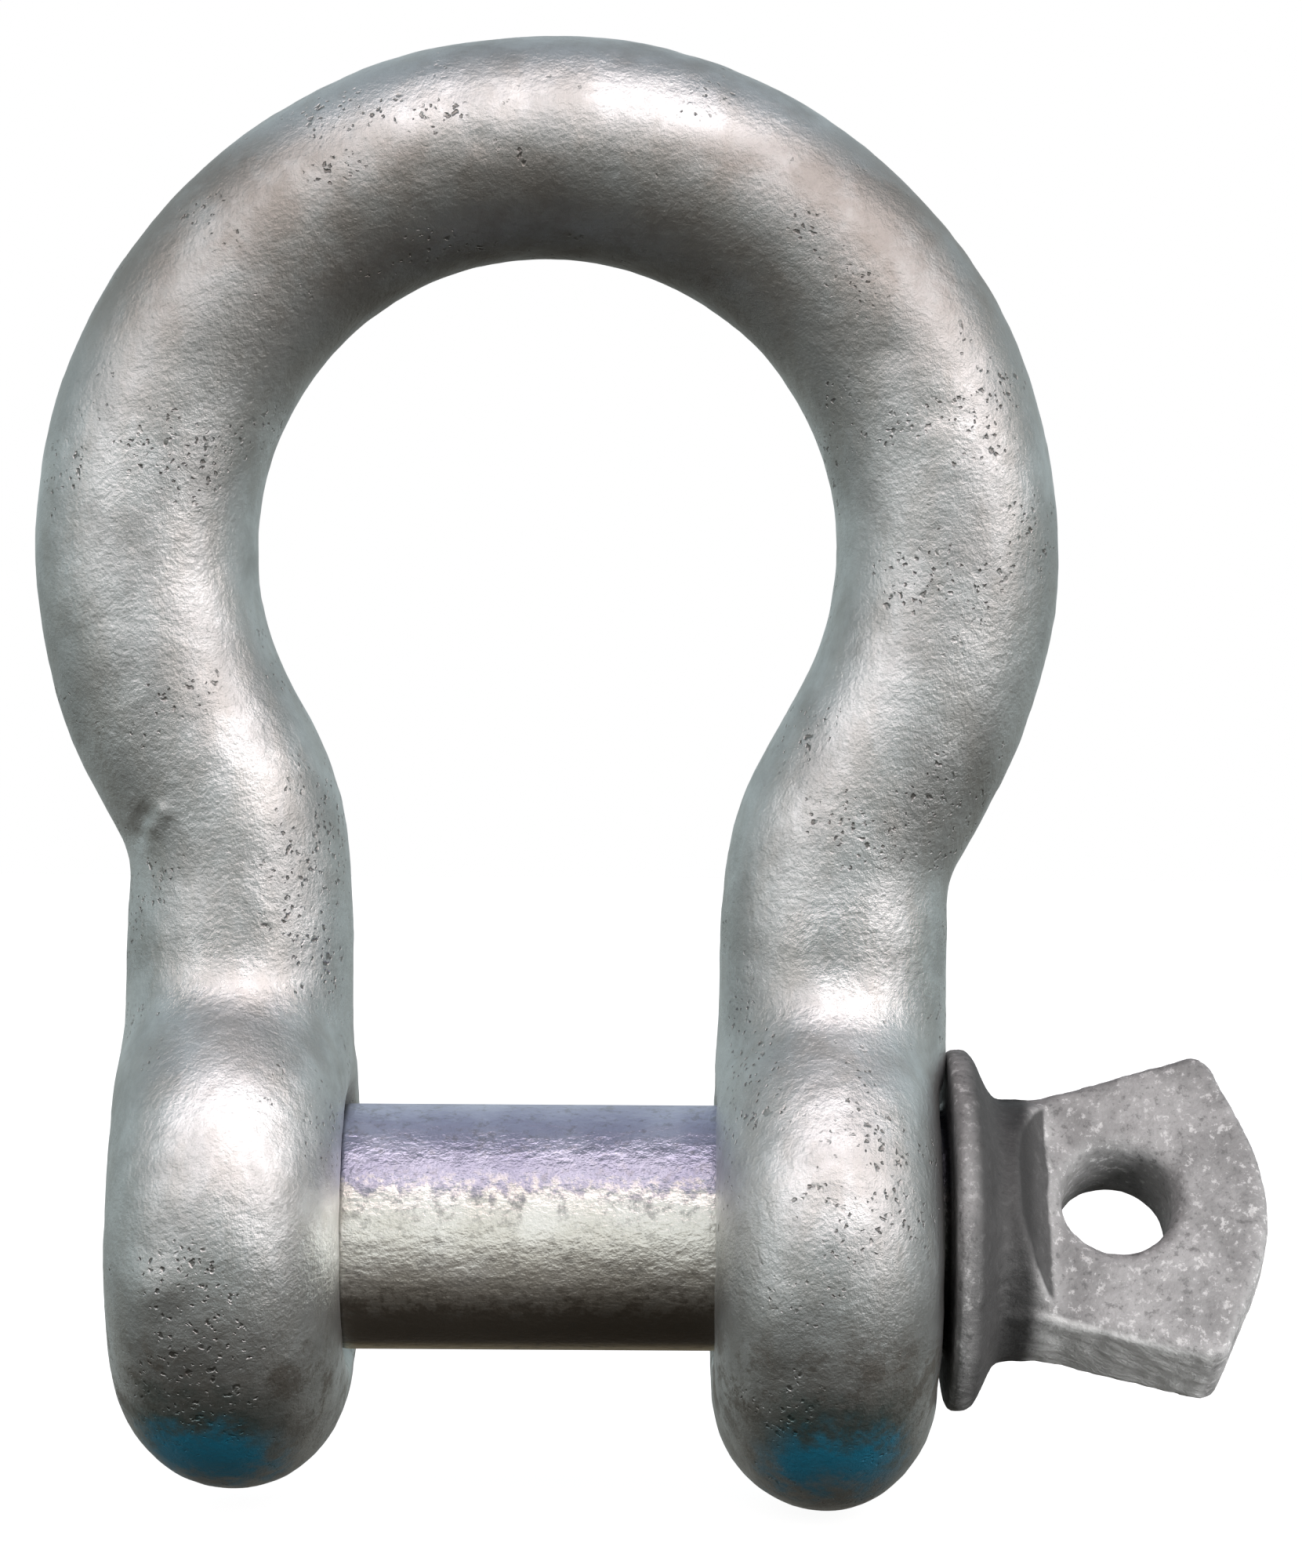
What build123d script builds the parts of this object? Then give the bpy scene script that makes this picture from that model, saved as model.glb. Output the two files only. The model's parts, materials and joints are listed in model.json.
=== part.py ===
from build123d import *
import os
from math import cos, radians, sin

# Bow shackle, millimetres. The bow stands up from its pin.
# +X runs along the pin towards its head, +Z runs from the pin to the crown of the bow.
# The origin is on the pin's axis, half-way between the two eyes.

# Bow: one round bar, bent to a ring that narrows into two parallel legs.
bar_radius = 12.6          # forged round bar
ring_radius = 45.6         # centreline of the round part
ring_height = 77.3         # ring centre above the pin's axis
ring_shift = 0.9           # the ring is forged off-centre, towards the pin's head
leg_offset = 33.7          # centreline of each leg from the middle
neck_lean = 29.0           # degrees, how far the neck leans out of the vertical
neck_bend = 22.6           # centreline radius of the bend from neck to leg

# Eyes: a thick disc with a rounded rim at the foot of each leg.
eye_radius = 29.6
rim_depth = 13.4           # the rounded rim reaches this far in from the edge
root_fillet = 10.0         # between an eye and the sides of its leg
threaded_eye_middle = -33.85
threaded_eye_half = 12.95  # half of its thickness
plain_eye_middle = 32.8
plain_eye_half = 12.6
plain_eye_drop = 2.1       # the plain eye is forged a little low on its hole

# Thread: V ridges on the pin stand in V grooves in the eye, with free play all round.
thread_pitch = 3.5
thread_root = 12.1         # pin radius in the roots
thread_crest = 13.65       # pin radius over the crests
nut_crest = 13.95          # eye radius over the crests
nut_root = 15.3            # eye radius in the roots
ridge_sink = 0.4           # each ridge starts this far inside the metal that it stands on
nut_countersink = 2.2      # where the pin enters the threaded eye
outer_countersink = 1.4
tip_chamfer = 1.8

# Pin: shank, collar and flat tab.
pin_tip = -46.2
thread_end = -22.4
shank_radius = 13.9
shank_play = 0.6           # between the shank and the plain eye's hole
plain_countersink = 0.7
collar_face = 46.6
collar_radius = 20.5
collar_edge = 2.7          # width of the collar's cylindrical edge
collar_corner = 0.8
collar_shoulder = 1.8
neck_start = 52.0
neck_radius = 14.3
neck_fillet = 2.6
tab_tilt = 31.0            # degrees that the tab has turned past upright when the pin is home
tab_thickness = 13.0
tab_neck_half = 13.7       # half-width where the tab leaves the neck
tab_neck_x = 57.0
tab_corner_half = 19.1     # half-width at the outer corners
tab_corner_x = 76.5
tab_corner_round = 2.4
tab_end = 85.0             # where its two end edges would meet without their rounding
tab_end_round = 24.0
scoop_start = 53.8         # the neck is hollowed from here down to the faces of the tab
scoop_end = 58.0
scoop_fillet = 2.5
tab_rise = 0.5             # the tab is forged a little above the pin's axis
tab_eye_x = 65.9
tab_eye_rise = 1.1
tab_eye_radius = 6.3
tab_eye_rim = 2.0          # rounding of both rims of the tab's eye
tab_edge_round = 1.2

spare = 1.0                # solids that join or cut each other run this far past the face


def neck_points(side):
    """Ends of one side's straight neck and the top of its leg: ring, neck, bend and leg are tangent."""
    lean = radians(neck_lean)
    shoulder_out = ring_radius * cos(lean) + side * ring_shift
    shoulder = (side * shoulder_out, ring_height - ring_radius * sin(lean))
    bend_out = leg_offset + neck_bend * (1 - cos(lean))
    straight = (shoulder_out - bend_out) / sin(lean)
    bend_top = (side * bend_out, shoulder[1] - straight * cos(lean))
    leg_top = (side * leg_offset, bend_top[1] - neck_bend * sin(lean))
    return shoulder, bend_top, leg_top


def thread_section(helix, root, crest):
    """Section of a V ridge with a flat top, which stands out from root to crest radius."""
    foot = 0.42 * thread_pitch
    top = 0.10 * thread_pitch
    height = crest - root
    with BuildSketch(Plane(origin=helix @ 0, x_dir=(1, 0, 0), z_dir=helix % 0)) as section:
        Polygon((-foot, 0), (foot, 0), (top, height), (-top, height), align=None)
    return section.sketch


shoulder, bend_top, leg_top = neck_points(1)
far_shoulder, far_bend_top, far_leg_top = neck_points(-1)
crown = (ring_shift, ring_height + ring_radius)
plain_hole_radius = shank_radius + shank_play
threaded_eye_inside = threaded_eye_middle + threaded_eye_half
threaded_eye_outside = threaded_eye_middle - threaded_eye_half
plain_eye_inside = plain_eye_middle - plain_eye_half
plain_eye_outside = plain_eye_middle + plain_eye_half
helix_start = threaded_eye_outside - 2 * thread_pitch
nut_helix_length = 2 * threaded_eye_half + 4 * thread_pitch
pin_helix_length = thread_end + thread_pitch - helix_start

# ---- tap: the hollow that the nut thread leaves in the threaded eye ----
with BuildPart() as tap:
    with BuildSketch(Plane.YZ.offset(helix_start - thread_pitch)) as tap_core:
        Circle(nut_crest)
    extrude(amount=nut_helix_length + 2 * thread_pitch)
    with BuildLine() as nut_path:
        Helix(pitch=thread_pitch, height=nut_helix_length, radius=nut_crest - ridge_sink,
              center=(helix_start, 0, 0), direction=(1, 0, 0))
    nut_section = thread_section(nut_path.line, nut_crest - ridge_sink, nut_root)
    sweep(sections=nut_section, path=nut_path.line, is_frenet=True)

# ---- bow: bar and two eyes, one forging ----
with BuildPart() as bow:
    with BuildLine(Plane.XZ) as centreline:
        Line((leg_offset, 0), leg_top)
        TangentArc(leg_top, bend_top, tangent=(0, 1))
        Line(bend_top, shoulder)
        ThreePointArc(shoulder, crown, far_shoulder)
        Line(far_shoulder, far_bend_top)
        TangentArc(far_leg_top, far_bend_top, tangent=(0, 1))
        Line(far_leg_top, (-leg_offset, 0))
    with BuildSketch(Plane.XY) as bar_section:
        with Locations((leg_offset, 0)):
            Circle(bar_radius)
    sweep(path=centreline.wires()[0])

    eyes = ((threaded_eye_middle, threaded_eye_half, 0),
            (plain_eye_middle, plain_eye_half, plain_eye_drop))
    for middle, half, drop in eyes:
        with BuildSketch(Plane.XZ) as eye_section:
            with BuildLine():
                rim = EllipticalCenterArc((middle, eye_radius - rim_depth - drop), half, rim_depth,
                                          start_angle=0, arc_size=180)
                Polyline(rim @ 1, (middle - half, -drop), (middle + half, -drop), rim @ 0)
            make_face()
        revolve(axis=Axis((0, 0, -drop), (1, 0, 0)))
        roots = [edge for edge in bow.edges(Select.LAST)
                 if edge.center().Z > 20 and abs(edge.center().Y) > 5]
        fillet(roots, radius=root_fillet)

    with BuildSketch(Plane.XZ) as holes:
        with Locations((plain_eye_middle, 0)):
            Rectangle(4 * plain_eye_half, plain_hole_radius, align=(Align.CENTER, Align.MIN))
        with Locations((threaded_eye_middle, 0)):
            Rectangle(3 * threaded_eye_half, nut_crest, align=(Align.CENTER, Align.MIN))
        mouths = ((plain_eye_outside, 1, plain_hole_radius, plain_countersink),
                  (plain_eye_inside, -1, plain_hole_radius, plain_countersink),
                  (threaded_eye_inside, 1, nut_crest, nut_countersink),
                  (threaded_eye_outside, -1, nut_crest, outer_countersink))
        for face, out, radius, depth in mouths:
            Polygon((face - out * depth, 0), (face - out * depth, radius),
                    (face + out * depth, radius + 2 * depth), (face + out * depth, 0), align=None)
    revolve(axis=Axis.X, mode=Mode.SUBTRACT)
    add(tap.part, mode=Mode.SUBTRACT)

# ---- pin: threaded end, shank, collar and tab, one forging ----
tab_normal = (0, -cos(radians(tab_tilt)), sin(radians(tab_tilt)))
tab_face = Plane(origin=(0, 0, 0), x_dir=(1, 0, 0), z_dir=tab_normal)
tab_side = Plane(origin=(0, 0, 0), x_dir=(1, 0, 0), z_dir=tab_face.y_dir)

# Flat tab with an eye and rounded edges, turned about the pin's axis.
with BuildPart() as tab:
    with BuildSketch(tab_face) as tab_outline:
        with BuildLine():
            outline = FilletPolyline((neck_start, tab_neck_half), (tab_neck_x, tab_neck_half),
                                     (tab_corner_x, tab_rise + tab_corner_half), (tab_end, tab_rise),
                                     (tab_corner_x, tab_rise - tab_corner_half),
                                     (tab_neck_x, -tab_neck_half), (neck_start, -tab_neck_half),
                                     radius=(12, tab_corner_round, tab_end_round, tab_corner_round, 12))
            Line(outline @ 1, outline @ 0)
        make_face()
    extrude(amount=tab_thickness / 2, both=True)
    with BuildSketch(tab_face) as tab_eye:
        with Locations((tab_eye_x, tab_eye_rise)):
            Circle(tab_eye_radius)
    extrude(amount=tab_thickness, both=True, mode=Mode.SUBTRACT)
    flat_edges = tab.faces().filter_by(Axis((0, 0, 0), tab_normal)).edges()
    eye_rims = [edge for edge in flat_edges if edge.is_closed]
    borders = [edge for edge in flat_edges if not edge.is_closed]
    fillet(eye_rims, radius=tab_eye_rim)
    fillet(borders, radius=tab_edge_round)

# A V ridge wound on a core, cut off and chamfered at the tip.
with BuildPart() as threaded_end:
    with BuildSketch(Plane.YZ.offset(helix_start - thread_pitch)) as core_section:
        Circle(thread_root)
    extrude(amount=pin_helix_length + 2 * thread_pitch)
    with BuildLine() as pin_path:
        Helix(pitch=thread_pitch, height=pin_helix_length, radius=thread_root - ridge_sink,
              center=(helix_start, 0, 0), direction=(1, 0, 0))
    pin_section = thread_section(pin_path.line, thread_root - ridge_sink, thread_crest)
    sweep(sections=pin_section, path=pin_path.line, is_frenet=True)
    with BuildSketch(Plane.XZ) as envelope:
        Polygon((pin_tip, 0), (pin_tip, thread_crest - tip_chamfer),
                (pin_tip + tip_chamfer + spare, thread_crest + spare),
                (thread_end + spare, thread_crest + spare), (thread_end + spare, 0), align=None)
    revolve(axis=Axis.X, mode=Mode.INTERSECT)

with BuildPart() as pin:
    # Neck: as round as the bar, then scooped out on both sides down to the faces of the tab.
    with BuildSketch(Plane(origin=(neck_start, 0, 0), x_dir=(1, 0, 0), z_dir=(0, -1, 0))) as neck_section:
        Rectangle(scoop_end + spare - neck_start, neck_radius, align=(Align.MIN, Align.MIN))
    revolve(axis=Axis.X)
    with BuildSketch(tab_side) as scoops:
        with BuildLine():
            scoop = FilletPolyline((neck_start, neck_radius + spare), (scoop_start, neck_radius),
                                   (scoop_end, tab_thickness / 2), (tab_end, tab_thickness / 2),
                                   radius=(1, scoop_fillet))
            Polyline(scoop @ 1, (tab_end, 0), (neck_start, 0), scoop @ 0)
        make_face()
        mirror(about=Plane.XZ)
    extrude(amount=tab_corner_half, both=True, mode=Mode.INTERSECT)
    add(tab.part)
    with BuildSketch(Plane.XZ) as turned:
        with BuildLine():
            collar = FilletPolyline((thread_end, 0), (thread_end, shank_radius), (collar_face, shank_radius),
                                    (collar_face, collar_radius), (collar_face + collar_edge, collar_radius),
                                    (neck_start, neck_radius), (scoop_start, neck_radius), (scoop_start, 0),
                                    radius=(1, 0, collar_corner, collar_shoulder, neck_fillet, 0))
            Line(collar @ 1, collar @ 0)
        make_face()
    revolve(axis=Axis.X)
    add(threaded_end.part)

bow.part.label = "bow"
pin.part.label = "pin"
os.makedirs("parts", exist_ok=True)
export_step(bow.part, "parts/bow.step")
export_step(pin.part, "parts/pin.step")
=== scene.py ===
import json
from math import cos, radians, sin

import bpy
import numpy as np
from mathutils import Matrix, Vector


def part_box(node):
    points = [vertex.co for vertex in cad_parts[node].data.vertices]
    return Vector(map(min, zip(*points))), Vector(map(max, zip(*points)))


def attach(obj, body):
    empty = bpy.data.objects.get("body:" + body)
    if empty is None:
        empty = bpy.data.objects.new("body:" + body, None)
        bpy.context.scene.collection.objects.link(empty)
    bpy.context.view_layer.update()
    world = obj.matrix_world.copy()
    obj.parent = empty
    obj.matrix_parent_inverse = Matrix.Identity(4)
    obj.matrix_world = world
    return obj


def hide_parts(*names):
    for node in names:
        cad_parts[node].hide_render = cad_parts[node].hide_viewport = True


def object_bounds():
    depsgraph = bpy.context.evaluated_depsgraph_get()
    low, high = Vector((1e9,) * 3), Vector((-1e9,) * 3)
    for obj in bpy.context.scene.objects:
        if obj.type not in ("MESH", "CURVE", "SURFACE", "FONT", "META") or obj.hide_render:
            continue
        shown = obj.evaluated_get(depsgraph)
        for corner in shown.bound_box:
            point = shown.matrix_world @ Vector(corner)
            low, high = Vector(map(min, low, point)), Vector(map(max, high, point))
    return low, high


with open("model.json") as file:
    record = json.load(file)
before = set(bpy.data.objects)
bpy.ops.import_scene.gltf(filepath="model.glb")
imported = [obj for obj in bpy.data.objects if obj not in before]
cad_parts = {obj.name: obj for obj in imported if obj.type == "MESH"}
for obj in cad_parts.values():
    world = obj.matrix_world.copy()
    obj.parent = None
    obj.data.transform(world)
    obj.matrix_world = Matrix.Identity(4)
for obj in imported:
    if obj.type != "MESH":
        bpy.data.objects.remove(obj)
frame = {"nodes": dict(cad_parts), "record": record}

# Bow shackle, metres. +X runs along the pin to its head, +Z up to the crown, and the front is at -Y.
MM = 0.001
cad_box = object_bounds()
record = frame["record"]
bow_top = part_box("bow")[1].z
# Unit vector through the flat tab, which is turned about the pin's axis.
tab_normal = Vector(next(mount["axis"] for mount in record["mounts"] if mount["name"] == "tab_eye"))

# Camera.
CAMERA_DISTANCE = 0.45
CAMERA_ASIDE = 12.9 * MM         # the camera stands a little towards the pin's head
CAMERA_HEIGHT = 50.5 * MM
FIELD_HEIGHT = 2000 / 11.2 * MM  # height of the picture at the shackle's middle plane
CAMERA_ROLL = radians(-0.35)

# Light.
ARC_LEFT = (1.35, 1.14, 1.12, 1)  # light of the bright arc at its two ends
ARC_RIGHT = (2.90, 2.40, 2.35, 1)
FLOOR_GAP = 0.5 * MM              # from the shackle's lowest point down to the floor
FLOOR_HALF = 3.0

# Shapes.
BOW_VOXEL, BOW_SMOOTHING = 0.75 * MM, 7
PIN_VOXEL, PIN_SMOOTHING = 0.5 * MM, 5
ROOT_LOW, ROOT_HIGH = (12 * MM, 19 * MM), (33 * MM, 42 * MM)  # where the blend of eye and leg fades in, out
ROOT_SMOOTHING = 130
ROOT_REFILL = 0.6 * MM           # gives back what the smoothing takes off
# Forging marks on the front: x, z, radius and height, where a height below zero is a dent.
MARKS_MM = ((-43.6, 46.3, 1.3, -0.55), (-41.0, 47.1, 1.0, 0.45), (-42.6, 45.6, 1.2, 0.45),
            (-44.6, 44.4, 1.4, -0.35), (-40.0, -3.6, 3.2, 0.45), (-37.6, -6.4, 2.2, -0.25),
            (28.0, -13.2, 2.4, -0.30), (2.5, 113.6, 2.4, -0.25), (-6.5, 121.5, 1.6, -0.30),
            (39.0, 98.5, 2.6, -0.25), (44.2, 92.0, 2.2, -0.22), (-53.0, 66.0, 3.0, -0.20))

# Colours of the bow.
ZINC_DARK, ZINC_PALE = (0.40, 0.425, 0.42, 1), (0.58, 0.62, 0.62, 1)
ZINC_STREAK = (0.40, 0.40, 0.37, 1)
# Brown: painted shade on the crown's underside, and darker patches on the feet of the eyes.
BROWN_SHADE_AND_PATCH = (0.19, 0.175, 0.15, 1)
BOW_PIT = (0.10, 0.095, 0.085, 1)
TEAL_HALO = (0.04, 0.15, 0.15, 1)
BLUE_PATCH = (0.005, 0.25, 0.42, 1)

# Colours of the pin.
WARM_DARK, WARM_PALE = (0.86, 0.83, 0.76, 1), (0.98, 0.96, 0.91, 1)
BLUE_DARK, BLUE_PALE = (0.50, 0.51, 0.68, 1), (0.66, 0.68, 0.84, 1)
SHANK_SHADE = (0.12, 0.12, 0.16, 1)
# Painted shade on the lower half of the shank.
SHANK_BROWN_SHADE = (0.20, 0.17, 0.14, 1)
SHANK_YELLOW = (0.95, 0.82, 0.55, 1)
SHANK_MOTTLE = (0.22, 0.21, 0.20, 1)
SHANK_PIT = (0.12, 0.11, 0.09, 1)
# Painted shade where the shank runs into the eyes, with grease as well in the left eye's thread.
GAP_SHADE_AND_GREASE = (0.02, 0.02, 0.02, 1)
HEAD_DARK, HEAD_PALE = (0.16, 0.16, 0.16, 1), (0.26, 0.26, 0.26, 1)
FLECK_DARK, FLECK_PALE = (0.06, 0.06, 0.06, 1), (0.48, 0.48, 0.48, 1)
# Painted shade in the pin's neck and in the hollows beside its tab.
HOLLOW_SHADE = (0.01, 0.01, 0.01, 1)
# Painted light on the lower side of the tab.
TAB_SIDE_LIGHT = (0.62, 0.62, 0.62, 1)

# Where the colours change.
CROWN_SHADE_LOW, CROWN_SHADE_HIGH = 88 * MM, 108 * MM
HEAD_START = 46.5 * MM           # the pin's matt head begins at the face of its collar
# The neck between these two gets painted shade.
NECK_SHADE_LOW, NECK_SHADE_HIGH = 48.5 * MM, 56.0 * MM
TAB_NECK, TAB_NECK_HALF = 57 * MM, 13.7 * MM
TAB_CORNER, TAB_CORNER_HALF = 76.5 * MM, 19.1 * MM


def make_camera():
    data = bpy.data.cameras.new("camera")
    data.sensor_fit = "AUTO"
    data.sensor_width = 36.0
    data.lens = data.sensor_width * CAMERA_DISTANCE / FIELD_HEIGHT
    data.dof.use_dof = False
    data.clip_start, data.clip_end = 0.01, 20
    camera = bpy.data.objects.new("camera", data)
    bpy.context.scene.collection.objects.link(camera)
    camera.location = (CAMERA_ASIDE, -CAMERA_DISTANCE, CAMERA_HEIGHT)
    camera.rotation_euler = (radians(90), CAMERA_ROLL, 0)
    bpy.context.scene.camera = camera


# ---------------------------------------------------------------- node helpers
class Graph:
    """A few short words for building a node tree."""

    def __init__(self, tree):
        self.tree = tree
        tree.nodes.clear()

    def node(self, kind, **settings):
        made = self.tree.nodes.new(kind)
        for name, value in settings.items():
            setattr(made, name, value)
        return made

    def link(self, source, target):
        self.tree.links.new(source, target)

    def feed(self, target, value):
        """Links a socket, or sets a plain value."""
        if isinstance(value, bpy.types.NodeSocket):
            self.link(value, target)
        else:
            target.default_value = value

    def noise(self, vector, scale, detail, rough):
        made = self.node("ShaderNodeTexNoise")
        self.link(vector, made.inputs["Vector"])
        made.inputs["Scale"].default_value = scale
        made.inputs["Detail"].default_value = detail
        made.inputs["Roughness"].default_value = rough
        return made.outputs["Fac"]

    def ramp(self, value, low, high, start=0.0, end=1.0, smooth=True):
        """Start where the value is at low, end where it is at high, clamped outside."""
        made = self.node("ShaderNodeMapRange", clamp=True)
        made.interpolation_type = "SMOOTHSTEP" if smooth else "LINEAR"
        self.link(value, made.inputs["Value"])
        made.inputs["From Min"].default_value = low
        made.inputs["From Max"].default_value = high
        made.inputs["To Min"].default_value = start
        made.inputs["To Max"].default_value = end
        return made.outputs["Result"]

    def window(self, value, low, high, soft):
        """1 where the value lies between low and high, with soft borders."""
        rise = self.ramp(value, low - soft, low + soft)
        fall = self.ramp(value, high - soft, high + soft, 1.0, 0.0)
        return self.times(rise, fall)

    def math(self, operation, a, b=0.0):
        made = self.node("ShaderNodeMath", operation=operation)
        self.feed(made.inputs[0], a)
        self.feed(made.inputs[1], b)
        return made.outputs[0]

    def times(self, a, b):
        return self.math("MULTIPLY", a, b)

    def plus(self, a, b):
        return self.math("ADD", a, b)

    def minus(self, a, b):
        return self.math("SUBTRACT", a, b)

    def mix(self, factor, a, b, blend="MIX"):
        made = self.node("ShaderNodeMix", data_type="RGBA", blend_type=blend)
        self.feed(made.inputs["Factor"], factor)
        self.feed(made.inputs["A"], a)
        self.feed(made.inputs["B"], b)
        return made.outputs["Result"]

    def paint(self, under, colour, mask, amount):
        """Lays a colour over what is under it, by this amount where the mask is 1."""
        return self.mix(self.times(mask, amount), under, colour)

    def stretch(self, vector, scale):
        made = self.node("ShaderNodeVectorMath", operation="MULTIPLY")
        self.link(vector, made.inputs[0])
        made.inputs[1].default_value = scale
        return made.outputs[0]


# ---------------------------------------------------------------- lights and stage
def elevation_colours(graph, height):
    """Brown dim ground, pale green-grey horizon and a darker, bluer ceiling, by sine of elevation."""
    stops = ((-1.00, (0.030, 0.026, 0.020)), (-0.75, (0.050, 0.044, 0.036)), (-0.50, (0.14, 0.13, 0.115)),
             (-0.25, (0.31, 0.32, 0.305)), (0.05, (0.50, 0.56, 0.56)), (0.50, (0.53, 0.60, 0.62)),
             (0.85, (0.36, 0.41, 0.46)), (1.00, (0.18, 0.22, 0.27)))
    ramp = graph.node("ShaderNodeValToRGB")
    graph.link(graph.ramp(height, -1.0, 1.0, smooth=False), ramp.inputs["Fac"])
    while len(ramp.color_ramp.elements) < len(stops):
        ramp.color_ramp.elements.new(0.5)
    for element, (sine, colour) in zip(ramp.color_ramp.elements, stops):
        element.position = (sine + 1) / 2
    for element, (sine, colour) in zip(ramp.color_ramp.elements, stops):
        element.color = (*colour, 1)
    return ramp.outputs["Color"]


def make_world():
    """Soft surroundings with a bright arc overhead and to both sides, and a white backdrop."""
    world = bpy.data.worlds.new("studio")
    world.use_nodes = True
    bpy.context.scene.world = world
    graph = Graph(world.node_tree)
    where = graph.node("ShaderNodeTexCoord").outputs["Generated"]
    split = graph.node("ShaderNodeSeparateXYZ")
    graph.link(where, split.inputs[0])
    height = split.outputs["Z"]
    front = graph.times(split.outputs["Y"], -1.0)
    shade = elevation_colours(graph, height)
    # The arc lies 48 to 72 degrees off the line to the camera, above the horizon only.
    arc = graph.times(graph.ramp(front, 0.22, 0.42), graph.ramp(front, 0.64, 0.80, 1.0, 0.0))
    arc = graph.times(arc, graph.ramp(height, -0.01, 0.10))
    arc_light = graph.mix(graph.ramp(split.outputs["X"], -0.8, 0.4), ARC_LEFT, ARC_RIGHT)
    glow = graph.mix(arc, (0, 0, 0, 1), arc_light)
    surroundings = graph.node("ShaderNodeBackground")
    graph.link(graph.mix(1.0, shade, glow, "ADD"), surroundings.inputs["Color"])
    surroundings.inputs["Strength"].default_value = 1.0
    backdrop = graph.node("ShaderNodeBackground")
    backdrop.inputs["Color"].default_value = (1, 1, 1, 1)
    backdrop.inputs["Strength"].default_value = 1.0
    ray = graph.node("ShaderNodeLightPath")
    mixed = graph.node("ShaderNodeMixShader")
    graph.link(ray.outputs["Is Camera Ray"], mixed.inputs["Fac"])
    graph.link(surroundings.outputs[0], mixed.inputs[1])
    graph.link(backdrop.outputs[0], mixed.inputs[2])
    out = graph.node("ShaderNodeOutputWorld")
    graph.link(mixed.outputs[0], out.inputs["Surface"])


def area_light(name, azimuth, elevation, distance, size, watts, colour, aim):
    """A softbox seen from aim at this azimuth (0 is the front, 90 the pin's head side)."""
    data = bpy.data.lights.new(name, "AREA")
    data.shape = "RECTANGLE"
    data.size, data.size_y = size
    data.energy = watts
    data.color = colour
    light = bpy.data.objects.new(name, data)
    bpy.context.scene.collection.objects.link(light)
    a, e = radians(azimuth), radians(elevation)
    away = Vector((sin(a) * cos(e), -cos(a) * cos(e), sin(e)))
    light.location = Vector(aim) + away * distance
    light.rotation_mode = "QUATERNION"
    light.rotation_quaternion = away.to_track_quat("Z", "Y")
    light.visible_camera = False
    return light


def light_only(lights, pieces):
    """These lights reach these pieces and nothing else."""
    receivers = bpy.data.collections.new(lights[0].name + "_receivers")
    for piece in pieces:
        receivers.objects.link(piece)
    for light in lights:
        light.light_linking.receiver_collection = receivers


def make_lights(bow, pin):
    """A wide key for the bow; a low front light and a side light for the pin."""
    key = area_light("key", azimuth=8, elevation=38, distance=0.90, size=(2.30, 0.30),
                     watts=4.9, colour=(1.0, 0.80, 0.79), aim=(0, 0, 0.05))
    front = area_light("pin_front", azimuth=2, elevation=2, distance=0.55, size=(0.50, 0.20),
                       watts=0.18, colour=(1.0, 0.97, 0.92), aim=(0, 0, 0))
    side = area_light("head_side", azimuth=48, elevation=-9, distance=0.15, size=(0.08, 0.08),
                      watts=0.52, colour=(1.0, 1.0, 1.0), aim=(0.07, 0, 0))
    light_only([key], [bow])
    light_only([front, side], [pin])


def make_floor():
    """A pale floor that melts into the backdrop and keeps a faint contact shadow."""
    mesh = bpy.data.meshes.new("floor")
    corners = [(-FLOOR_HALF, -FLOOR_HALF, 0), (FLOOR_HALF, -FLOOR_HALF, 0),
               (FLOOR_HALF, FLOOR_HALF, 0), (-FLOOR_HALF, FLOOR_HALF, 0)]
    mesh.from_pydata(corners, [], [(0, 1, 2, 3)])
    floor = bpy.data.objects.new("floor", mesh)
    bpy.context.scene.collection.objects.link(floor)
    floor.location.z = cad_box[0].z - FLOOR_GAP
    floor.visible_glossy = False
    floor.visible_diffuse = False
    material, graph = new_material("floor")
    diffuse = graph.node("ShaderNodeBsdfDiffuse")
    diffuse.inputs["Color"].default_value = (0.3, 0.3, 0.3, 1)
    glow = graph.node("ShaderNodeEmission")
    glow.inputs["Color"].default_value = (1, 1, 1, 1)
    glow.inputs["Strength"].default_value = 0.92
    both = graph.node("ShaderNodeAddShader")
    graph.link(diffuse.outputs[0], both.inputs[0])
    graph.link(glow.outputs[0], both.inputs[1])
    out = graph.node("ShaderNodeOutputMaterial")
    graph.link(both.outputs[0], out.inputs["Surface"])
    mesh.materials.append(material)


# ---------------------------------------------------------------- meshes
def bake_modifiers(piece):
    """Puts what the piece's modifiers make into its mesh."""
    graph = bpy.context.evaluated_depsgraph_get()
    mesh = bpy.data.meshes.new_from_object(piece.evaluated_get(graph))
    piece.modifiers.clear()
    piece.data = mesh


def forged_copy(node, name, voxel, smoothing):
    """An even, closed skin of small faces over a CAD node, with its sharp edges eased."""
    piece = bpy.data.objects.new(name, frame["nodes"][node].data.copy())
    bpy.context.scene.collection.objects.link(piece)
    piece.data.materials.clear()
    remesh = piece.modifiers.new("remesh", "REMESH")
    remesh.mode = "VOXEL"
    remesh.voxel_size = voxel
    remesh.use_smooth_shade = True
    ease = piece.modifiers.new("ease", "SMOOTH")
    ease.factor = 0.5
    ease.iterations = smoothing
    bake_modifiers(piece)
    return piece


def vertex_array(piece, attribute="co"):
    """One row for each vertex, its position in metres or its normal."""
    flat = np.empty(3 * len(piece.data.vertices))
    piece.data.vertices.foreach_get(attribute, flat)
    return flat.reshape(-1, 3)


def between(values, low, high):
    """0 below low, 1 above high and a smooth step from one to the other."""
    t = np.clip((values - low) / (high - low), 0, 1)
    return t * t * (3 - 2 * t)


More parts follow.
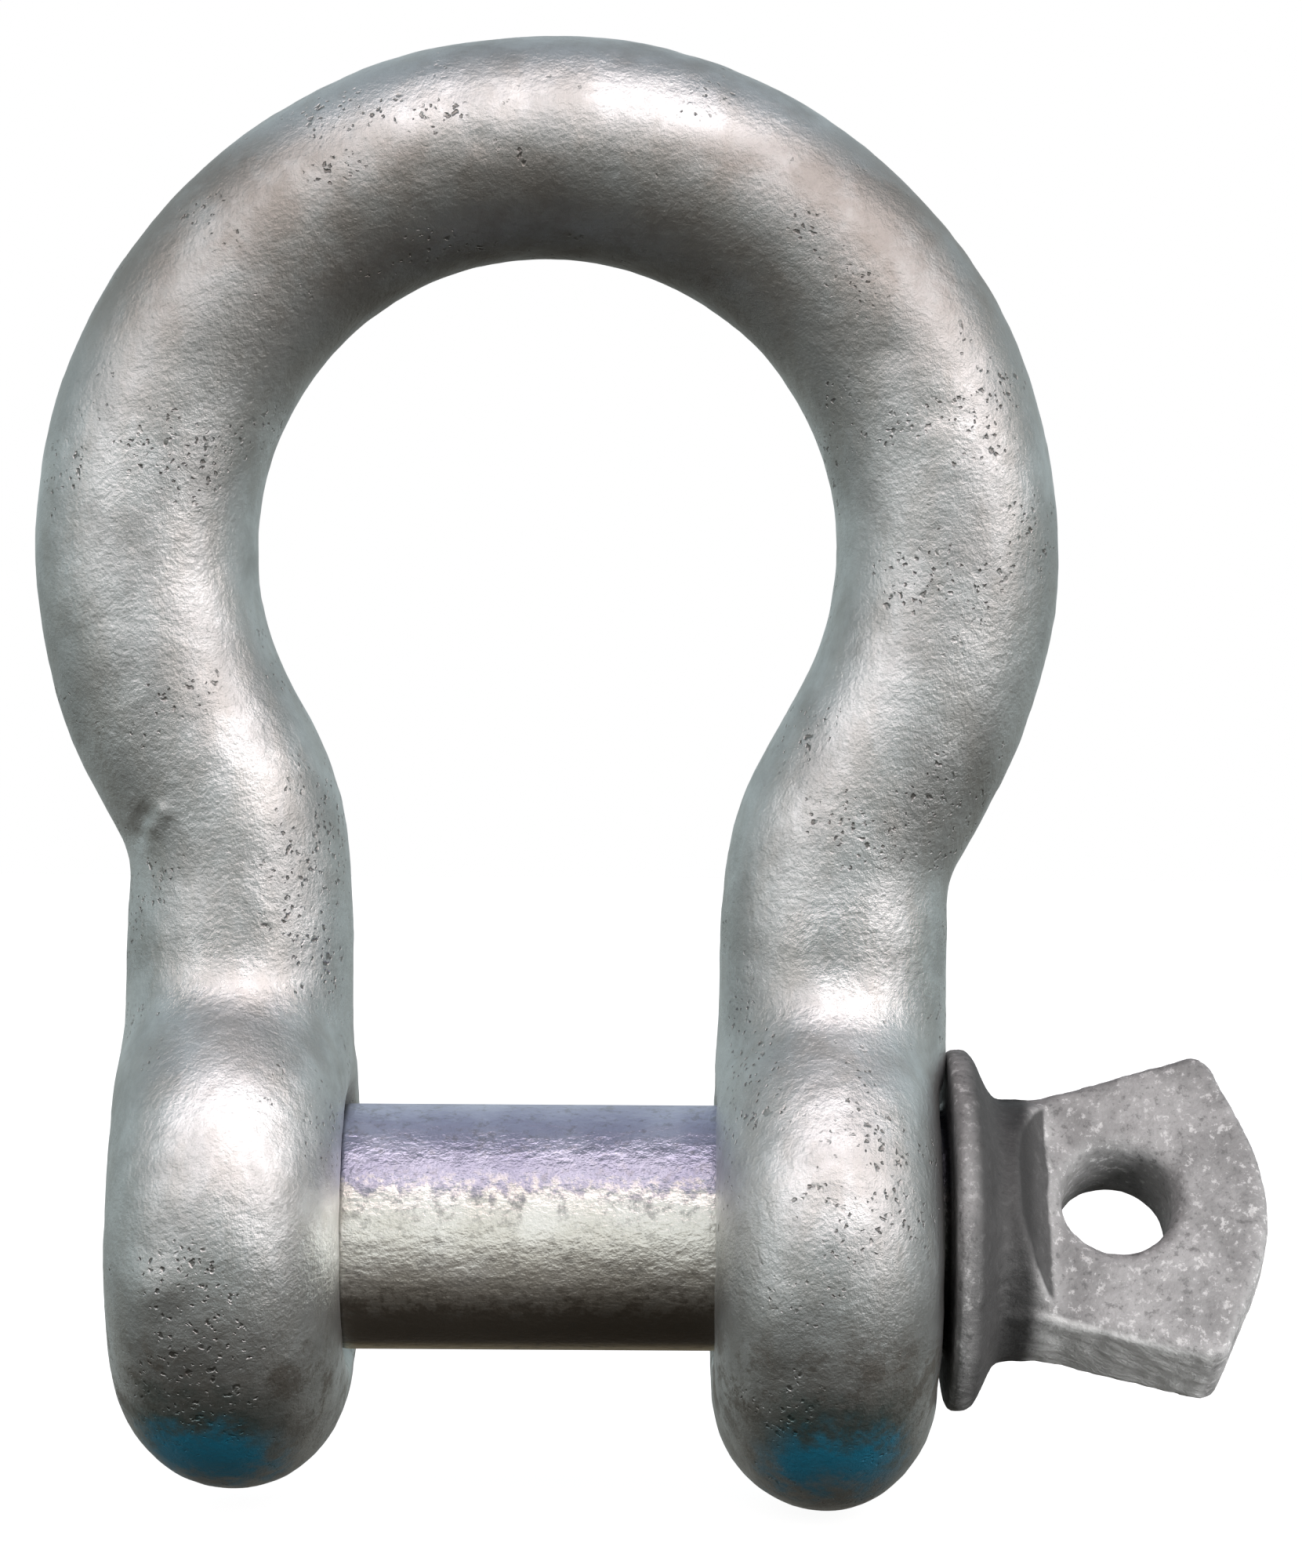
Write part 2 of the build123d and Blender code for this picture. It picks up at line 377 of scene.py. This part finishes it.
def paint_group(piece, name, weights, steps=20):
    """A vertex group with these weights, rounded to a number of steps."""
    group = piece.vertex_groups.new(name=name)
    for step in range(1, steps + 1):
        members = np.flatnonzero(np.round(weights * steps).astype(int) == step)
        group.add(members.tolist(), step / steps, "REPLACE")
    return name


def roughen(piece, size, height, group=None):
    """Raises and lowers the surface by clouds of this size."""
    texture = bpy.data.textures.new(f"{piece.name}_clouds_{size}", "CLOUDS")
    texture.noise_scale = size
    lift = piece.modifiers.new("lift", "DISPLACE")
    lift.texture = texture
    lift.texture_coords = "LOCAL"
    lift.direction = "NORMAL"
    lift.mid_level = 0.5
    lift.strength = height
    if group:
        lift.vertex_group = group


# ---------------------------------------------------------------- materials
def object_space(graph):
    """Object position in metres and its x, y and z parts."""
    where = graph.node("ShaderNodeTexCoord").outputs["Object"]
    split = graph.node("ShaderNodeSeparateXYZ")
    graph.link(where, split.inputs[0])
    return where, split.outputs["X"], split.outputs["Y"], split.outputs["Z"]


def pits(graph, where, size, amount):
    """Small ragged pits in loose clusters."""
    wander = graph.node("ShaderNodeTexNoise")
    graph.link(where, wander.inputs["Vector"])
    wander.inputs["Scale"].default_value = 1.5 / size
    bent = graph.node("ShaderNodeVectorMath", operation="ADD")
    graph.link(where, bent.inputs[0])
    graph.link(graph.stretch(wander.outputs["Color"], (size, size, size)), bent.inputs[1])
    cells = graph.node("ShaderNodeTexVoronoi")
    graph.link(bent.outputs[0], cells.inputs["Vector"])
    cells.inputs["Scale"].default_value = 1 / size
    specks = graph.ramp(cells.outputs["Distance"], 0.10, 0.26, 1.0, 0.0)
    clusters = graph.ramp(graph.noise(where, 75, 3, 0.6), 0.66 - amount, 0.74 - amount)
    return graph.times(specks, clusters)


def bumps(graph, layers):
    """Chains bump layers, each a height field and its depth in metres."""
    normal = None
    for height, depth in layers:
        bump = graph.node("ShaderNodeBump")
        bump.inputs["Strength"].default_value = 1.0
        bump.inputs["Distance"].default_value = depth
        graph.link(height, bump.inputs["Height"])
        if normal:
            graph.link(normal, bump.inputs["Normal"])
        normal = bump.outputs[0]
    return normal


def new_material(name):
    material = bpy.data.materials.new(name)
    material.use_nodes = True
    return material, Graph(material.node_tree)


def close_material(graph, colour, metallic, roughness, normal):
    shader = graph.node("ShaderNodeBsdfPrincipled")
    graph.link(colour, shader.inputs["Base Color"])
    graph.link(metallic, shader.inputs["Metallic"])
    graph.link(roughness, shader.inputs["Roughness"])
    graph.link(normal, shader.inputs["Normal"])
    out = graph.node("ShaderNodeOutputMaterial")
    graph.link(shader.outputs[0], out.inputs["Surface"])


def shade_and_patch_mask(graph, where, z, cloudy):
    """1 on the underside of the crown, where shade is painted, and in broken darker patches on the feet of
    both eyes.
    """
    crown = graph.ramp(z, CROWN_SHADE_LOW, CROWN_SHADE_HIGH)
    under = graph.ramp(z, bow_top - 16 * MM, bow_top - 10 * MM, 1.0, 0.0)
    crown = graph.times(graph.times(crown, under), graph.ramp(cloudy, 0.30, 0.60))
    foot = graph.window(z, -21 * MM, -9 * MM, 4 * MM)
    broken = graph.ramp(graph.noise(where, 210, 7, 0.75), 0.47, 0.60)
    return graph.math("MAXIMUM", crown, graph.times(foot, broken))


def blue_patch_masks(graph, where, x, y, z):
    """A blue patch on the front of each eye's foot, and the teal halo above it."""
    wobble = graph.times(graph.ramp(graph.noise(where, 330, 4, 0.7), 0.30, 0.70, -1.0, 1.0), 1.6 * MM)
    height = graph.plus(z, wobble)
    from_middle = graph.math("ABSOLUTE", graph.minus(x, -1.0 * MM))
    front = graph.ramp(y, -6 * MM, -2 * MM, 1.0, 0.0)
    patch_width = graph.window(graph.plus(from_middle, wobble), 27.5 * MM, 41 * MM, 3.0 * MM)
    blue_patch = graph.times(graph.window(height, -27.0 * MM, -20.0 * MM, 2.4 * MM), patch_width)
    halo_width = graph.window(from_middle, 27.0 * MM, 42 * MM, 3.0 * MM)
    halo = graph.times(graph.window(height, -25.0 * MM, -17.0 * MM, 3.5 * MM), halo_width)
    return graph.times(blue_patch, front), graph.times(halo, front)


def bow_material():
    """Hot-dip zinc: soft sheen, cloudy patches, pits, painted shade under the crown, brown patches and a
    blue patch on each eye's foot.
    """
    material, graph = new_material("galvanised_bow")
    where, x, y, z = object_space(graph)
    cloudy = graph.noise(where, 90, 5, 0.65)
    streaky = graph.noise(graph.stretch(where, (1.0, 1.0, 0.35)), 260, 4, 0.6)
    pebbled = graph.noise(where, 800, 6, 0.75)
    grain = graph.noise(where, 1500, 3, 0.6)
    shade_and_patch = shade_and_patch_mask(graph, where, z, cloudy)
    spots = graph.math("MAXIMUM", pits(graph, where, 1.7 * MM, 0.12), pits(graph, where, 1.0 * MM, 0.15))
    blue_patch, halo = blue_patch_masks(graph, where, x, y, z)
    colour = graph.mix(graph.ramp(cloudy, 0.36, 0.62), ZINC_DARK, ZINC_PALE)
    colour = graph.mix(graph.ramp(streaky, 0.42, 0.66, 0.0, 0.35), colour, ZINC_STREAK)
    # Painted shade on the underside of the crown, and brown patches on the feet of the eyes.
    colour = graph.paint(colour, BROWN_SHADE_AND_PATCH, shade_and_patch, 0.75)
    colour = graph.paint(colour, BOW_PIT, spots, 0.75)
    colour = graph.paint(colour, TEAL_HALO, halo, 0.7)
    colour = graph.paint(colour, BLUE_PATCH, blue_patch, 0.9)
    metallic = graph.minus(0.88, graph.times(blue_patch, 0.65))
    rough = graph.ramp(cloudy, 0.3, 0.7, 0.38, 0.28)
    rough = graph.plus(rough, graph.times(shade_and_patch, 0.14))
    # The legs are a little smoother where they run into the eyes.
    blended = graph.window(z, 24 * MM, 36 * MM, 4 * MM)
    rough = graph.minus(rough, graph.times(blended, 0.07))
    normal = bumps(graph, ((pebbled, 0.14 * MM), (grain, 0.09 * MM), (graph.times(spots, -1.0), 0.14 * MM)))
    close_material(graph, colour, metallic, rough, normal)
    return material


def scoop_shade_mask(graph, x, y, z):
    """1 on the hollowed slopes between the pin's neck and the faces of its tab, which get painted shade."""
    off_middle = graph.plus(graph.times(y, tab_normal.y), graph.times(z, tab_normal.z))
    above_face = graph.ramp(graph.math("ABSOLUTE", off_middle), 6.9 * MM, 7.4 * MM)
    radial = graph.math("SQRT", graph.plus(graph.times(y, y), graph.times(z, z)))
    in_hollow = graph.ramp(radial, 13.4 * MM, 14.0 * MM, 1.0, 0.0)
    along = graph.window(x, 54.0 * MM, 60.0 * MM, 0.4 * MM)
    return graph.times(along, graph.times(above_face, in_hollow))


def lit_side_mask(graph, x, y, z):
    """1 on the lower side of the tab, painted pale as light, which widens along x."""
    across = graph.minus(graph.times(z, -tab_normal.y), graph.times(y, -tab_normal.z))
    half_width = graph.ramp(x, TAB_NECK, TAB_CORNER, TAB_NECK_HALF, TAB_CORNER_HALF, smooth=False)
    past = graph.minus(graph.times(across, -1.0), half_width)
    side = graph.ramp(past, -1.0 * MM, -0.3 * MM)
    return graph.times(side, graph.ramp(x, TAB_NECK - 2 * MM, TAB_NECK + 2 * MM))


def shank_colour(graph, where, x, z, cloudy):
    """Blue above, warm in the middle and brown painted shade below, with ragged borders, and painted shade
    in the eyes, with grease as well in the left eye's thread.
    """
    warm = graph.mix(graph.ramp(cloudy, 0.35, 0.65), WARM_DARK, WARM_PALE)
    blue = graph.mix(graph.ramp(cloudy, 0.35, 0.65), BLUE_DARK, BLUE_PALE)
    mottled = graph.noise(where, 640, 6, 0.72)
    height = graph.plus(z, graph.times(graph.ramp(mottled, 0.35, 0.65, -1.0, 1.0), 1.3 * MM))
    colour = graph.mix(graph.ramp(height, 5.0 * MM, 6.8 * MM), warm, blue)
    shade = graph.window(height, 4.6 * MM, 9.2 * MM, 1.3 * MM)
    colour = graph.paint(colour, SHANK_SHADE, shade, 0.5)
    # Painted shade: the lower half of the shank darkens to brown.
    colour = graph.mix(graph.ramp(height, -9.0 * MM, -3.5 * MM, 0.92, 0.0), colour, SHANK_BROWN_SHADE)
    colour = graph.mix(graph.ramp(z, -13.3 * MM, -12.0 * MM, 0.9, 0.0), colour, SHANK_YELLOW)
    colour = graph.mix(graph.ramp(mottled, 0.50, 0.66, 0.0, 0.45), colour, SHANK_MOTTLE)
    colour = graph.paint(colour, SHANK_PIT, pits(graph, where, 1.2 * MM, 0.02), 0.55)
    # Painted shade where the shank enters both eyes; the left eye's thread also holds grease.
    in_left_eye = graph.ramp(x, -21.6 * MM, -20.8 * MM, 1.0, 0.0)
    in_right_eye = graph.ramp(x, 43 * MM, 45 * MM)
    return graph.paint(colour, GAP_SHADE_AND_GREASE, graph.plus(in_left_eye, in_right_eye), 0.9)


def head_colour(graph, where, x, y, z, cloudy):
    """Matt flecked grey, with painted shade in the neck and the hollows and painted light on the tab's
    lower side.
    """
    colour = graph.mix(graph.ramp(cloudy, 0.35, 0.65), HEAD_DARK, HEAD_PALE)
    flecks = graph.noise(where, 800, 5, 0.75)
    colour = graph.mix(graph.ramp(flecks, 0.54, 0.66, 0.0, 0.6), colour, FLECK_DARK)
    colour = graph.mix(graph.ramp(flecks, 0.46, 0.36, 0.0, 0.6), colour, FLECK_PALE)
    # Painted shade in the neck's recess and in the scoops beside the tab.
    colour = graph.paint(colour, HOLLOW_SHADE, graph.window(x, NECK_SHADE_LOW, NECK_SHADE_HIGH, 1.2 * MM), 0.92)
    colour = graph.paint(colour, HOLLOW_SHADE, scoop_shade_mask(graph, x, y, z), 0.85)
    # Painted light on the tab's lower side.
    return graph.paint(colour, TAB_SIDE_LIGHT, lit_side_mask(graph, x, y, z), 0.9)


def pin_material():
    """Plated shank, glossy, and a matt grainy head."""
    material, graph = new_material("plated_pin")
    where, x, y, z = object_space(graph)
    head = graph.ramp(x, HEAD_START - 0.3 * MM, HEAD_START + 0.3 * MM)
    cloudy = graph.noise(where, 120, 4, 0.6)
    rolled = graph.noise(graph.stretch(where, (0.55, 1.0, 1.0)), 620, 4, 0.6)
    grain = graph.noise(where, 1900, 3, 0.65)
    shank = shank_colour(graph, where, x, z, cloudy)
    colour = graph.mix(head, shank, head_colour(graph, where, x, y, z, cloudy))
    metallic = graph.ramp(head, 0.0, 1.0, 0.90, 0.1, smooth=False)
    rough = graph.ramp(head, 0.0, 1.0, 0.32, 0.72, smooth=False)
    normal = bumps(graph, ((rolled, 0.24 * MM), (grain, 0.09 * MM)))
    close_material(graph, colour, metallic, rough, normal)
    return material


# ---------------------------------------------------------------- pieces
def raise_marks(piece):
    """Raises and dents the front of the bow at each forging mark."""
    places = vertex_array(piece)
    normals = vertex_array(piece, "normal")
    for x, z, radius, height in MARKS_MM:
        squared = (places[:, 0] / MM - x) ** 2 + (places[:, 2] / MM - z) ** 2
        lift = height * MM * np.exp(-squared / (2 * (radius / 1.6) ** 2)) * (normals[:, 1] < 0)
        places = places + normals * lift[:, None]
    piece.data.vertices.foreach_set("co", places.ravel())
    piece.data.update()


def blend_roots(piece):
    """Smooths the corners between eyes and legs, which the forging die leaves soft."""
    height = vertex_array(piece)[:, 2]
    roots = between(height, *ROOT_LOW) * (1 - between(height, *ROOT_HIGH))
    group = paint_group(piece, "roots", roots)
    blend = piece.modifiers.new("blend", "SMOOTH")
    blend.factor = 0.5
    blend.iterations = ROOT_SMOOTHING
    blend.vertex_group = group
    refill = piece.modifiers.new("refill", "DISPLACE")
    refill.mid_level = 0.0
    refill.strength = ROOT_REFILL
    refill.vertex_group = group


def make_bow():
    piece = forged_copy("bow", "bow_forging", BOW_VOXEL, BOW_SMOOTHING)
    blend_roots(piece)
    roughen(piece, 16 * MM, 0.5 * MM)
    roughen(piece, 5 * MM, 0.14 * MM)
    roughen(piece, 1.8 * MM, 0.10 * MM)
    bake_modifiers(piece)
    raise_marks(piece)
    piece.data.materials.append(bow_material())
    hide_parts("bow")
    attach(piece, "bow")
    return piece


def make_pin():
    piece = forged_copy("pin", "pin_forging", PIN_VOXEL, PIN_SMOOTHING)
    along = vertex_array(piece)[:, 0]
    head = paint_group(piece, "head", between(along, HEAD_START, HEAD_START + 1 * MM))
    roughen(piece, 7 * MM, 0.5 * MM, head)
    roughen(piece, 1.5 * MM, 0.22 * MM, head)
    bake_modifiers(piece)
    piece.data.materials.append(pin_material())
    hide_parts("pin")
    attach(piece, "pin")
    return piece


make_camera()
make_world()
make_floor()
make_lights(make_bow(), make_pin())
bpy.context.scene.view_settings.view_transform = "Standard"

bpy.context.view_layer.update()
